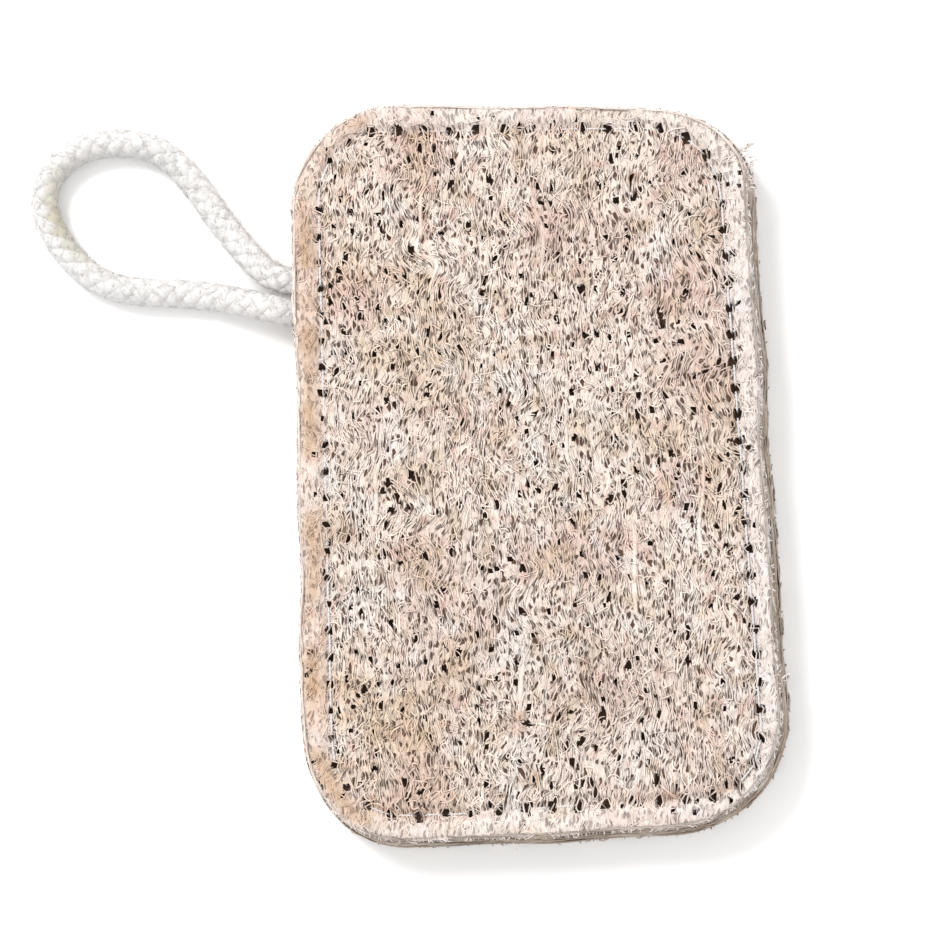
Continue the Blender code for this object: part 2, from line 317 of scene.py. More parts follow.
def strand_mesh(strands, sides, squash, edge_shade, slits=1.0):
    """One mesh of closed tubes, one for each strand, darker towards their undersides."""
    points = np.vstack(strands.points)
    radii = np.concatenate(strands.radii)
    tints = np.vstack(strands.tints)
    ups = np.vstack(strands.ups)
    sizes = np.array(strands.sizes)
    ends = np.cumsum(sizes) - 1
    firsts = ends - sizes + 1
    index = np.arange(len(points))
    after, before = index + 1, index - 1
    after[ends] = ends
    before[firsts] = firsts
    along = unit(points[after] - points[before])
    side = unit(np.cross(along, ups))
    up = np.cross(side, along)
    angles = math.pi / 2 + 2 * math.pi * np.arange(sides) / sides
    spread = side[:, None] * np.cos(angles)[None, :, None]
    spread = spread + up[:, None] * np.sin(angles)[None, :, None] * squash
    spread = spread * radii[:, None, None]
    verts = (points[:, None] + spread).reshape(-1, 3)
    places = (np.vstack(strands.places)[:, None] + spread[:, :, :2]).reshape(-1, 2)
    verts[:, 2] = np.maximum(verts[:, 2], FLOOR_CLEAR)
    shade = 1 - edge_shade * (1 - np.sin(angles)) / 2
    colours = (tints[:, None] * shade[None, :, None]).reshape(-1, 3)

    bodies = np.setdiff1d(index, ends)
    j = np.arange(sides)
    k = (j + 1) % sides
    here, there = bodies[:, None] * sides, (bodies[:, None] + 1) * sides
    quads = np.stack((here + j, there + j, there + k, here + k), 2).reshape(-1)
    start_caps = (firsts[:, None] * sides + j).reshape(-1)
    end_caps = (ends[:, None] * sides + j[::-1]).reshape(-1)
    loops = np.concatenate((quads, start_caps, end_caps))
    quad_count = len(quads) // 4
    caps = len(quads) + np.arange(2 * len(sizes)) * sides
    starts = np.concatenate((np.arange(quad_count) * 4, caps))
    return raw_mesh(verts, loops, starts, colours, slits, places)


def ring_quads(count, low, high):
    """Faces between two closed rings of points that start at these rows."""
    i = np.arange(count)
    j = (i + 1) % count
    return np.stack((low + i, low + j, high + j, high + i), 1)


def add_piece(name, mesh, material, replaced=()):
    mesh.name = name
    mesh.materials.append(material)
    obj = bpy.data.objects.new(name, mesh)
    bpy.context.scene.collection.objects.link(obj)
    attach(obj, BODY)
    if replaced:
        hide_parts(*replaced)
    return obj


# Materials

STREAK_SCALE = 1.0
STREAK_RANGE = (0.3, 0.7)
BLOTCH_SCALE = 1 / 9
SLIT_DRIFT_SCALE = 420.0
SLIT_DRIFT = 0.0013
SLIT_STRETCH = (1.0, 0.31, 0.0)
SLIT_CELLS = 1850.0
SLIT_SIZE_SCALE = 900.0
SLIT_SIZE_RANGE = (0.35, 0.65)
SLIT_MARGINS = (0.03, 0.27)
SLIT_SOFTNESS = 0.15
SLIT_RELIEF = 0.00025


def new_material(name):
    material = bpy.data.materials.new(name)
    material.use_nodes = True
    tree = material.node_tree
    return material, tree, tree.nodes["Principled BSDF"]


def fill(tree, node, inputs):
    """Puts a value or a link on each of these inputs of a node."""
    for key, given in inputs.items():
        if isinstance(given, bpy.types.NodeSocket):
            tree.links.new(given, node.inputs[key])
        else:
            node.inputs[key].default_value = given
    return node.outputs


def add_node(tree, kind, inputs, operation=None):
    node = tree.nodes.new("ShaderNode" + kind)
    if operation:
        node.operation = operation
    return fill(tree, node, inputs)


def attribute(tree, name):
    node = tree.nodes.new("ShaderNodeAttribute")
    node.attribute_name = name
    return node.outputs


def clouds(tree, vector, scale, detail, roughness=0.5):
    inputs = {"Vector": vector, "Scale": scale, "Detail": detail, "Roughness": roughness}
    return add_node(tree, "TexNoise", inputs)


def new_range(tree, value, old, new):
    """Takes a value from its old range, low and high, to a new one."""
    inputs = {"Value": value, "From Min": old[0], "From Max": old[1], "To Min": new[0], "To Max": new[1]}
    return add_node(tree, "MapRange", inputs)["Result"]


def fibre_material(name, roughness, stretch, grain, bump, bump_depth):
    """A matt fibre look: the strands' own colours, fine streaks along the fibres, and a rough bump."""
    material, tree, shader = new_material(name)
    place = add_node(tree, "TexCoord", {})["Object"]
    stretched = add_node(tree, "Mapping", {"Vector": place, "Scale": stretch})["Vector"]
    streaks = clouds(tree, stretched, STREAK_SCALE, 4.0, 0.65)["Fac"]
    blotches = clouds(tree, place, BLOTCH_SCALE, 3.0)["Fac"]
    light = new_range(tree, streaks, STREAK_RANGE, (1.0 - grain, 1.0 + grain * 0.6))
    tint = attribute(tree, "Tint")["Color"]
    dulled = new_range(tree, blotches, STREAK_RANGE, (roughness - 0.10, min(1.0, roughness + 0.08)))
    relief = {"Strength": bump, "Distance": bump_depth, "Height": streaks}
    fill(tree, shader, {
        "Metallic": 0.0,
        "Specular IOR Level": 0.25,
        "Base Color": add_node(tree, "VectorMath", {0: tint, "Scale": light}, "SCALE")["Vector"],
        "Roughness": dulled,
        "Normal": add_node(tree, "Bump", relief)["Normal"],
    })
    return material


def slit_mask(tree):
    """Long narrow slits between merged fibres: 1 in a slit, 0 on a fibre."""
    place = attribute(tree, "Place")["Vector"]
    drift = clouds(tree, place, SLIT_DRIFT_SCALE, 2.0)["Color"]
    shift = add_node(tree, "VectorMath", {0: drift, "Scale": SLIT_DRIFT}, "SCALE")["Vector"]
    moved = add_node(tree, "VectorMath", {0: place, 1: shift}, "ADD")["Vector"]
    stretched = add_node(tree, "Mapping", {"Vector": moved, "Scale": SLIT_STRETCH})["Vector"]
    cells = tree.nodes.new("ShaderNodeTexVoronoi")
    cells.feature = "DISTANCE_TO_EDGE"
    edge = fill(tree, cells, {"Vector": stretched, "Scale": SLIT_CELLS})["Distance"]
    size = clouds(tree, place, SLIT_SIZE_SCALE, 2.0)["Fac"]
    margin = new_range(tree, size, SLIT_SIZE_RANGE, SLIT_MARGINS)
    over = add_node(tree, "Math", {0: edge, 1: margin}, "SUBTRACT")["Value"]
    mask = tree.nodes.new("ShaderNodeMapRange")
    mask.interpolation_type = "SMOOTHSTEP"
    return fill(tree, mask, {"Value": over, "From Min": 0.0, "From Max": SLIT_SOFTNESS})["Result"]


def web_material(name):
    """Fibres merged into one web: pale bands between slits painted dark as shade, as strong as the vertices
    say.
    """
    material = fibre_material(name, 0.82, (2600, 800, 2600), 0.30, 0.8, 0.00016)
    tree = material.node_tree
    shader = tree.nodes["Principled BSDF"]
    strength = attribute(tree, "Tint")["Alpha"]
    share = add_node(tree, "Math", {0: slit_mask(tree), 1: strength}, "MULTIPLY")["Value"]
    # The slits are painted dark as shade.
    mix = tree.nodes.new("ShaderNodeMix")
    mix.data_type = "RGBA"
    pale = shader.inputs["Base Color"].links[0].from_socket
    colour = fill(tree, mix, {0: share, 6: pale, 7: (*SLIT_PAINTED_SHADE, 1)})[2]
    dents = tree.nodes.new("ShaderNodeBump")
    dents.invert = True
    grain = shader.inputs["Normal"].links[0].from_socket
    relief = {"Strength": 0.9, "Distance": SLIT_RELIEF, "Height": share, "Normal": grain}
    fill(tree, shader, {"Base Color": colour, "Normal": fill(tree, dents, relief)["Normal"]})
    return material


# Camera, light and floor

SENSOR_WIDTH = 36.0
CLIP_START = 0.01
CLIP_END = 20.0
BACKDROP = (1.0, 0.995, 0.99, 1)
FLOOR_REACH = 3.0
FLOOR_SHADES = (0.93, 0.96)


def make_camera():
    camera = bpy.data.cameras.new("camera")
    camera.lens = CAMERA_LENS
    camera.sensor_width = SENSOR_WIDTH
    camera.clip_start = CLIP_START
    camera.clip_end = CLIP_END
    camera.dof.use_dof = False
    obj = bpy.data.objects.new("camera", camera)
    back = CAMERA_SIDE.normalized()
    right = Vector((0, 1, 0)).cross(back).normalized()
    up = back.cross(right)
    turn = Matrix((right, up, back)).transposed().to_4x4()
    obj.matrix_world = Matrix.Translation(CAMERA_TARGET + back * CAMERA_DISTANCE) @ turn
    bpy.context.scene.collection.objects.link(obj)
    bpy.context.scene.camera = obj


def make_lamp(name, place, size, power, colour):
    lamp = bpy.data.lights.new(name, "AREA")
    lamp.shape = "DISK"
    lamp.size = size
    lamp.energy = power
    lamp.color = colour
    obj = bpy.data.objects.new(name, lamp)
    obj.location = place
    obj.rotation_euler = (-Vector(place)).to_track_quat("-Z", "Y").to_euler()
    bpy.context.scene.collection.objects.link(obj)


def make_light():
    world = bpy.data.worlds.new("studio")
    world.use_nodes = True
    backdrop = world.node_tree.nodes["Background"]
    backdrop.inputs["Color"].default_value = BACKDROP
    backdrop.inputs["Strength"].default_value = 1.0
    bpy.context.scene.world = world
    make_lamp("key_light", (-0.45, 0.50, 0.75), 0.40, 6.5, (1.0, 0.985, 0.965))
    make_lamp("fill_light", (0.60, -0.20, 0.70), 0.60, 1.2, (0.97, 0.985, 1.0))
    scene = bpy.context.scene
    scene.view_settings.view_transform = "Standard"
    scene.view_settings.look = "None"


def make_floor():
    mesh = bpy.data.meshes.new("floor")
    low, high = -FLOOR_REACH, FLOOR_REACH
    mesh.from_pydata([(low, low, 0), (high, low, 0), (high, high, 0), (low, high, 0)], [], [(0, 1, 2, 3)])
    floor = bpy.data.objects.new("floor", mesh)
    bpy.context.scene.collection.objects.link(floor)
    material, tree, shader = new_material("floor")
    place = add_node(tree, "TexCoord", {})["Object"]
    shade = new_range(tree, clouds(tree, place, 6.0, 2.0)["Fac"], (0.0, 1.0), FLOOR_SHADES)
    fill(tree, shader, {"Roughness": 0.9, "Specular IOR Level": 0.1, "Base Color": shade})
    mesh.materials.append(material)


# Braided cord

CORD_SPANS = 12
CORD_LEGS_Y = (0.0285, 0.0239)
BRAID_LEAD = 0.0108
BRAID_WAYS = 4
BRAID_MIDDLE = 0.00138
BRAID_WEAVE = 0.00024
BRAID_WIDTH = 0.00108
BRAID_SQUASH = 0.50
BRAID_STEP = 0.00045
BRAID_WANDER = 0.00005
CORD_CORE = 0.00125
FUZZ_COUNT = 2800
FUZZ_LENGTHS = (0.0004, 0.0012)
FUZZ_RADII = (0.00003, 0.00006)
FUZZ_TAPER = np.array((1.0, 0.9, 0.7, 0.4))
# Where the cord turns olive, on the loop's inner side, and how far it spreads
CORD_OLIVE_SPOT = np.array((-0.0712, 0.0392, 0.0))
CORD_OLIVE_SPOT_SIZE = 0.0070
LOOP_MIDDLE = np.array((-0.0600, 0.0400, 0.0))


def smooth_curve(points):
    """Close points along a smooth curve through the given points (Catmull-Rom)."""
    ends = np.vstack((points[0] * 2 - points[1], points, points[-1] * 2 - points[-2]))
    made = []
    for a, b, c, d in zip(ends, ends[1:], ends[2:], ends[3:]):
        for i in range(CORD_SPANS):
            t = i / CORD_SPANS
            bend = (2 * a - 5 * b + 4 * c - d) * t**2 + (3 * b - a - 3 * c + d) * t**3
            made.append((2 * b + (c - a) * t + bend) / 2)
    return np.array([*made, points[-1]])


def cord_height(x):
    share = ease(CORD_DROP_FROM_X - x, 0, CORD_DROP_FROM_X - CORD_DROP_TO_X)
    return CORD_MID_Z + (CORD_LOW_Z - CORD_MID_Z) * share


def cord_line():
    """The cord's centre line, as close points."""
    return smooth_curve(np.array([(x, y, cord_height(x)) for x, y in CORD_ROUTE]))


def line_frames(points):
    """Sideways and upward directions along a nearly level line."""
    along = unit(np.gradient(points, axis=0))
    side = unit(np.cross(along, np.array((0.0, 0.0, 1.0))))
    return along, side, np.cross(side, along)


def cord_tint(points, out):
    """White cotton, dulled on the inner side of the loop's far end."""
    far = ((points - CORD_OLIVE_SPOT)[:, :2] ** 2).sum(1) / CORD_OLIVE_SPOT_SIZE**2
    inner = (out * unit(LOOP_MIDDLE - points))[:, :2].sum(1)
    return blend(np.broadcast_to(COTTON, points.shape), OLIVE, 0.9 * np.exp(-far) * ease(inner, -0.2, 0.5))


def make_cord(material):
    line = cord_line()
    length = far_along(line)[-1]
    count = int(length / BRAID_STEP)
    distances = np.linspace(0, length, count)
    middle = along_line(line, distances)
    along, side, up = line_frames(middle)

    def add(part, strands, sides, squash, edge_shade, replaced=()):
        mesh = strand_mesh(strands, sides, squash, edge_shade)
        return add_piece("hanging_loop_" + part, mesh, material, replaced)

    strands = Strands()
    rng = np.random.default_rng(5)
    ends = np.minimum(1, 0.35 + np.minimum(distances, length - distances) / 0.0012)
    for way in (1, -1):
        for i in range(BRAID_WAYS):
            angle = way * 2 * np.pi * distances / BRAID_LEAD + 2 * np.pi * i / BRAID_WAYS
            weave = way * BRAID_WEAVE * np.cos(8 * np.pi * distances / BRAID_LEAD)
            wander = BRAID_WANDER * ripple(distances, i * 0.1 + way, 0.004, 71)
            reach = (BRAID_MIDDLE + weave + wander)[:, None]
            out = side * np.cos(angle)[:, None] + up * np.sin(angle)[:, None]
            width = BRAID_WIDTH * (1 + 0.06 * ripple(distances, i + way * 9, 0.006, 72))
            shade = 1 + 0.05 * ripple(distances, i * 3 + way, 0.005, 73)
            surface = middle + out * reach
            tint = cord_tint(surface, out) * shade[:, None]
            strands.add(surface, width * ends, tint, out)
    braid = add("braid", strands, 8, BRAID_SQUASH, 0.18, ("hanging_loop",))

    core = Strands()
    every = slice(None, None, 3)
    # The core, seen between the braid's strands, is darkened as painted shade.
    core.add(middle[every], CORD_CORE, COTTON * 0.7)
    core_piece = add("core", core, 10, 1.0, 0.0)

    fuzz = Strands()
    for _ in range(FUZZ_COUNT):
        k = rng.integers(20, count - 20)
        angle = rng.uniform(0, 2 * np.pi)
        out = side[k] * math.cos(angle) + up[k] * math.sin(angle)
        lean = unit(along[k] * rng.uniform(-1, 1) + np.cross(along[k], out) * rng.uniform(-1, 1))
        size = rng.uniform(*FUZZ_LENGTHS)
        lift = rng.uniform(0.0, 0.28)
        steps = np.linspace(0, 1, len(FUZZ_TAPER))[:, None]
        start = middle[k] + out * (CORD_RADIUS - 0.00015)
        points = start + lean * size * steps + out * size * lift * steps * (1.6 - steps)
        points[:, 2] = np.maximum(points[:, 2], 0.0001)
        fuzz.add(points, FUZZ_TAPER * rng.uniform(*FUZZ_RADII), COTTON * 1.04)
    fuzz_piece = add("fuzz", fuzz, 3, 1.0, 0.0)


# Where fibres part and turn: in the flat net before it is drawn out of true

HALF_LENGTH = 0.0600
HALF_WIDTH = 0.0430
MESH_STEP = (0.00195, 0.0023)
MESH_SHARE = 0.36
MESH_JITTER = 0.62
MESH_TURN = 0.30
KNOTS = 16
KNOTS_X = 0.028
KNOTS_Y = 0.047
KNOT_WIDTHS = (0.75, 1.15)
KNOT_LENGTHS = (1.1, 1.8)
SWIRL_STEP = (0.0078, 0.0088)
SWIRL_RADII = (1.6, 3.8)
SWIRL_TURN = math.radians(46)

# Waves across and along the net: size (mm), stretch, wavelength (m)
WAVES_ACROSS = ((1.6, 1.0, 0.026), (0.50, 0.8, 0.0078), (0.22, 1.0, 0.0034))
WAVES_ALONG = ((0.9, 1.0, 0.021), (0.30, 1.0, 0.005))


def scatter(step_x, step_y, jitter, rng):
    """Uneven places over the pad, one to each cell of a grid."""
    xs = np.arange(-HALF_WIDTH, HALF_WIDTH, step_x)
    ys = np.arange(-HALF_LENGTH, HALF_LENGTH, step_y)
    grid_x, grid_y = np.meshgrid(xs, ys, indexing="ij")
    grid_x = grid_x + rng.uniform(-jitter, jitter, grid_x.shape) * step_x
    grid_y = grid_y + rng.uniform(-jitter, jitter, grid_y.shape) * step_y
    return grid_x.ravel(), grid_y.ravel()


class Net:
    """The way one sheet's fibres part round their meshes and swirl."""

    def __init__(self, seed):
        rng = np.random.default_rng(seed)
        self.seed = seed
        x, y = scatter(*MESH_STEP, MESH_JITTER, rng)
        keep = rng.uniform(0, 1, len(x)) < MESH_SHARE
        self.mesh_x, self.mesh_y = x[keep], y[keep]
        count = len(self.mesh_x)
        self.mesh_w = (0.12 + 0.18 * rng.uniform(0, 1, count) ** 2.0) * MM
        self.mesh_l = self.mesh_w * rng.uniform(1.1, 2.2, count) + 0.10 * MM
        rim_y = HALF_LENGTH - 0.0085 - abs(self.mesh_y)
        rim_x = HALF_WIDTH - 0.0110 - abs(self.mesh_x)
        # Meshes are smaller near the rim
        shrink = 0.35 + 0.65 * ease(np.minimum(rim_y, rim_x), -0.001, 0.002)
        self.mesh_w *= shrink
        self.mesh_l *= shrink
        self.mesh_turn = rng.normal(0, MESH_TURN, count)
        knots = rng.choice(count, KNOTS, replace=False)
        inner = (abs(self.mesh_x[knots]) < KNOTS_X) & (abs(self.mesh_y[knots]) < KNOTS_Y)
        self.knots = knots[inner]
        self.knot_w = rng.uniform(*KNOT_WIDTHS, len(self.knots)) * MM
        self.knot_l = rng.uniform(*KNOT_LENGTHS, len(self.knots)) * MM
        self.turn_x, self.turn_y = scatter(*SWIRL_STEP, 0.45, rng)
        self.turn_r = rng.uniform(*SWIRL_RADII, len(self.turn_x)) * MM
        self.turn_a = rng.uniform(-1, 1, len(self.turn_x)) * SWIRL_TURN
        self.settle()

    def bulges(self, lattice, centres_x, centres_y, widths, lengths):
        """Adds the sideways shift round openings of these half widths and half lengths."""
        for cx, cy, w, length in zip(centres_x, centres_y, widths, lengths):
            reach = 1.5 * length + 0.4 * MM
            rows, columns, xs, ys = lattice.window(cx, cy, 0.0030, reach)
            across = xs - cx
            along = np.minimum(abs(ys - cy) / reach, 1)
            fade = np.exp(-abs(across) / (0.35 * MM + 0.6 * w))
            push = w * np.tanh(across / (0.15 * MM))
            lattice.values[rows, columns] += push * fade * (1 - along**2) ** 2

    def settle(self):
        """Works out the shifts and the openings once."""
        knots = self.knots
        self.small = Lattice(0.1 * MM)
        self.bulges(self.small, self.mesh_x, self.mesh_y, 0.55 * self.mesh_w, self.mesh_l)
        self.large = Lattice(0.1 * MM)
        self.bulges(self.large, self.mesh_x[knots], self.mesh_y[knots], self.knot_w, self.knot_l)
        self.open = Lattice(0.06 * MM)
        self.open.values += 4.0
        meshes = (self.mesh_x, self.mesh_y, self.mesh_w, self.mesh_l, self.mesh_turn)
        for cx, cy, w, length, turn in zip(*meshes):
            rows, columns, xs, ys = self.open.window(cx, cy, 2 * length, 2 * length)
            dx, dy = xs - cx, ys - cy
            across = (dx * math.cos(turn) + dy * math.sin(turn)) / w
            along = (dy * math.cos(turn) - dx * math.sin(turn)) / length
            near = np.sqrt(across * across + along * along)
            self.open.values[rows, columns] = np.minimum(self.open.values[rows, columns], near)

    def part(self, x, y):
        """Fibres curve round the meshes and the knots."""
        x = x + self.small.at(x, y)
        return x + self.large.at(x, y)

    def opened(self, x, y, margin=1.0):
        """True where a point lies in an open mesh, or close to it."""
        return self.open.at(x, y) < margin

    def waves(self, x, y, moved, waves, seed):
        for k, (size, stretch, wavelength) in enumerate(waves):
            moved = moved + size * MM * noise(x, stretch * y, wavelength, self.seed * 10 + seed + k)
        return moved

    def draw(self, x, y):
        """Draws the straight net out of true: long waves, then swirls."""
        far_x = self.waves(x, y, x, WAVES_ACROSS, 1)
        far_y = self.waves(x, y, y, WAVES_ALONG, 4)
        for cx, cy, r, a in zip(self.turn_x, self.turn_y, self.turn_r, self.turn_a):
            dx, dy = far_x - cx, far_y - cy
            turn = a * np.exp(-(dx * dx + dy * dy) / (r * r))
            cosine, sine = np.cos(turn), np.sin(turn)
            far_x, far_y = cx + dx * cosine - dy * sine, cy + dx * sine + dy * cosine
        return far_x, far_y


NEEDLE_CLEAR = 0.64 * MM
NEEDLE_OPEN = 0.50 * MM
NEEDLE_REACH = 2.2 * MM
LEFT_SEAM_X = -0.0270
LEFT_HOLE_SCALE = 0.55
END_SEAM_Y = 0.0450


def clear_needles(x, y):
    """Pushes fibres off the needle holes."""
    x, y = np.array(x), np.array(y)
    near = abs(SEAM_RING.inside(x, y)) < NEEDLE_REACH
    some_x, some_y = x[near], y[near]
    nearest = np.argmin(square_gaps(some_x, some_y, NEEDLE_RING.points), axis=1)
    dx = some_x - NEEDLE_RING.points[nearest, 0]
    dy = some_y - NEEDLE_RING.points[nearest, 1]
    r = np.sqrt(dx * dx + dy * dy)
    fade = (1 - np.minimum(r / NEEDLE_REACH, 1) ** 2) ** 2
    scale = (np.sqrt(r * r + NEEDLE_CLEAR**2) - r) * fade / np.maximum(r, 0.02 * MM)
    x[near] = some_x + dx * scale
    y[near] = some_y + dy * scale
    return x, y


def at_needles(x, y, reach=NEEDLE_OPEN):
    """True where a point lies in a needle hole. Those of the left seam are smaller."""
    scale = np.where(NEEDLE_RING.points[:, 0] < LEFT_SEAM_X, LEFT_HOLE_SCALE, 1.0)
    return (square_gaps(x, y, NEEDLE_RING.points) / scale**2).min(1) < reach**2


# The pad's faces

RIM_ROUND = 1.1 * MM
SEAM_SINK = 0.85 * MM
SEAM_WIDTH = 0.85 * MM
SWELL = 0.22 * MM
PUFF = 0.12 * MM
PUFF_INSET = 3 * MM
PUFF_WIDTH = 2 * MM
FACE_INSET = 0.12 * MM
BACK_CLEAR = 0.16 * MM
WEB_MARGIN = 0.25 * MM
WEB_OPEN = 1.12
WEB_DEPTH = 0.40 * MM
WEB_HOLE_MARGIN = 0.18 * MM
WEB_RIM_DEPTH = 0.20 * MM


class Sheet:
    """One loofah sheet: its outline, which way it faces, and its net."""

    def __init__(self, name, ring, facing, seed):
        self.name, self.ring, self.facing, self.seed = name, ring, facing, seed
        self.net = Net(seed)

    def face(self, x, y, inside=None):
        """Height of the fibres' tops, measured up from the pad's other face."""
        if inside is None:
            inside = self.ring.inside(x, y)
        rim = np.clip(1 - inside / RIM_ROUND, 0, 1)
        seam = SEAM_RING.inside(x, y)
        drop = RIM_ROUND * (1 - np.sqrt(np.maximum(0.02, 1 - rim * rim)))
        sink = SEAM_SINK * np.exp(-((seam / SEAM_WIDTH) ** 2))
        puff = PUFF * np.exp(-(((seam - PUFF_INSET) / PUFF_WIDTH) ** 2))
        swell = SWELL * (noise(x, y, 0.008, self.seed + 700) - 0.5)
        return PAD_THICKNESS - FACE_INSET - drop - sink + puff + swell

    def place(self, x, y, z):
        """Points from heights, turned over for the lower sheet."""
        if self.facing < 0:
            z = np.maximum(PAD_THICKNESS - z, BACK_CLEAR)
        return np.stack((x, y, z), -1)

    @property
    def up(self):
        return (0, 0, self.facing)

    def rng(self, seed):
        return np.random.default_rng(self.seed * 100 + seed)

    def look(self, x, y):
        """Distance inside the outline, height of the face, and colour."""
        inside = self.ring.inside(x, y)
        return inside, self.face(x, y, inside), fibre_tint(self, x, y, inside)

    def add(self, part, mesh, material, replaced=()):
        return add_piece(f"{self.name}_{part}", mesh, material, replaced)


# Soft stains: place (mm), size (mm), colour, strength
STAINS = (
    ((-12.0, 19.5), 5.0, TAN, 0.65),
    ((26.0, 14.5), 7.0, PINK * 0.92, 0.85),
    ((27.5, 4.0), 5.5, TAN * 0.92, 0.75),
    ((-26.0, 30.5), 5.0, TAN, 0.45),
    ((-18.5, -40.0), 6.0, TAN, 0.75),
    ((11.5, -33.0), 6.0, PINK * 0.90, 0.75),
    ((-20.0, -47.0), 8.0, TAN, 0.50),
    ((-33.0, -32.0), 7.0, STAIN, 0.60),
    ((3.0, 33.0), 6.0, PINK, 0.65),
    ((-27.0, -3.0), 6.0, WHITE, 0.30),
    ((7.0, 6.0), 5.0, WHITE, 0.25),
    ((-6.0, -12.0), 6.0, WHITE, 0.20),
    ((24.0, -38.0), 6.0, PINK, 0.45),
    ((-33.2, 8.4), 1.4, STAIN * 0.75, 0.90),
    ((-32.0, 5.8), 1.1, ROSE * 0.75, 0.90),
    ((-33.0, -2.0), 1.3, ROSE, 0.70),
    ((-33.6, 24.5), 2.2, STAIN * 0.8, 0.75),
    ((-33.4, 18.5), 2.6, STAIN * 0.8, 0.90),
)


# Patches: colour, strength, size (m), and the noise at which they start and are full
PATCHES = (
    (PINK, 0.75, 0.0095, 0.0, 0.75),
    (TAN, 0.50, 0.0062, 0.15, 0.85),
    (WHITE, 0.50, 0.0044, 0.10, 0.80),
    (TAN * 0.9, 0.60, 0.0024, 0.30, 0.95),
    (ROSE, 0.50, 0.0015, 0.35, 0.95),
)


def fibre_tint(sheet, x, y, inside):
    """The fibres' colour over the pad: cream, with pink, tan and bleached patches, and a stained rim."""
    s = sheet.seed + 500
    tint = np.broadcast_to(CREAM, (*np.shape(x), 3))
    for k, (colour, strength, size, low, high) in enumerate(PATCHES):
        tint = blend(tint, colour, strength * ease(noise(x, y, size, s + k), low, high))
    if sheet.facing > 0:
        for (cx, cy), size, colour, strength in STAINS:
            far = ((x - cx * MM) ** 2 + (y - cy * MM) ** 2) / (size * MM) ** 2
            tint = blend(tint, colour, strength * np.exp(-far) * (0.7 + 0.5 * noise(x, y, 0.003, s + 9)))
        seam = SEAM_RING.inside(x, y)
        rim = ease(-seam, -0.2 * MM, 0.6 * MM)
        left = ease(-x, 0.020, 0.027)
        right = ease(x, 0.020, 0.027)
        band = np.exp(-(((inside - 2.1 * MM) / (1.2 * MM)) ** 2))
        patchy = 0.10 + 0.90 * ease(noise(x, y, 0.007, s + 5), -0.10, 0.45)
        tint = blend(tint, PINK * 0.92, 0.35 * left * rim)
        tint = blend(tint, STAIN * 0.85, 0.65 * left * rim * band * patchy)
        tint = blend(tint, MATTED, 0.75 * right * rim)
        tint = blend(tint, MATTED, 0.45 * rim * (1 - left) * (1 - right))
    edge = ease(-inside, -1.1 * MM, -0.1 * MM)
    return blend(tint, MATTED, 0.55 * edge)


def runs(mask):
    """Start and end of each unbroken run of true values."""
    edges = np.flatnonzero(np.diff(np.concatenate(([0], mask.astype(int), [0]))))
    return zip(edges[::2], edges[1::2] - 1)


def add_run(strands, points, radii, tints, inside, cut, up, tip=0.55, least=3):
    """Adds the parts of one fibre that lie inside the outline, cut off cleanly at it."""
    for first, last in runs(inside > cut):
        if last - first < least:
            continue
        rows = [points[first:last + 1]]
        size = [radii[first:last + 1]]
        tone = [tints[first:last + 1]]
        for end, beyond in ((last, last + 1), (first, first - 1)):
            if 0 <= beyond < len(points):
                f = (inside[end] - cut) / (inside[end] - inside[beyond])
                place = len(rows) if beyond > end else 0
                rows.insert(place, (points[end] * (1 - f) + points[beyond] * f)[None])
                size.insert(place, radii[end:end + 1] * tip)
                tone.insert(place, tints[beyond][None])
        strands.add(np.vstack(rows), np.concatenate(size), np.vstack(tone), up)


def thin_out(first, last, every):
    """Rows kept of a run of close points: its ends, and one in so many between them."""
    kept = list(range(first, last + 1, every))
    if kept[-1] != last:
        kept.append(last)
    return np.array(kept)


CUT_SPREAD = (-0.12, 0.20)


def lay_fibres(sheet, strands, x, y, width, depth, light, every, weave_size, seed):
    """Lays rows of close points as fibres: drawn out of true, cut at meshes, needle holes and outline."""
    rng = sheet.rng(seed + 50)
    rank = np.arange(len(x))[:, None] * 1.0 + 0 * y
    x = sheet.net.part(x, y)
    opened = sheet.net.opened(x, y)
    places = np.stack((x, y), -1)
    x, y = clear_needles(*sheet.net.draw(x, y))
    keep = (abs(x) < HALF_WIDTH) & (abs(y) < HALF_LENGTH)
    inside = np.where(keep, 0.0, -0.02)
    inside[keep] = sheet.ring.inside(x[keep], y[keep])
    near_seam = np.zeros(np.shape(x), dtype=bool)
    near_seam[keep] = abs(SEAM_RING.inside(x[keep], y[keep])) < MM
    opened[near_seam] |= at_needles(x[near_seam], y[near_seam])
    inside[opened] = -1.0
    width = width * (1 + 0.25 * noise(rank * 0.041, y, 0.0045, seed + 42))
    weave = weave_size * MM * noise(rank * 0.053, y, 0.0026, seed + 43)
    face = np.zeros(np.shape(x))
    face[keep] = sheet.face(x[keep], y[keep], np.maximum(inside[keep], -0.0005))
    z = face - depth - width * 0.75 + weave
    tint = fibre_tint(sheet, x, y, inside)
    light = light * (1 + 0.08 * noise(rank * 0.047, y, 0.003, seed + 44))
    tint = tint * light[..., None]
    points = sheet.place(x, y, z)
    for k in range(len(x)):
        cut = rng.uniform(*CUT_SPREAD) * MM
        for first, last in runs(inside[k] > cut):
            if last - first < 2:
                continue
            rows = thin_out(first, last, every)
            size = width[k, rows]
            size[[0, -1]] *= 0.5
            strands.add(points[k, rows], size, tint[k, rows], sheet.up, places[k, rows])


WANDER = 0.40


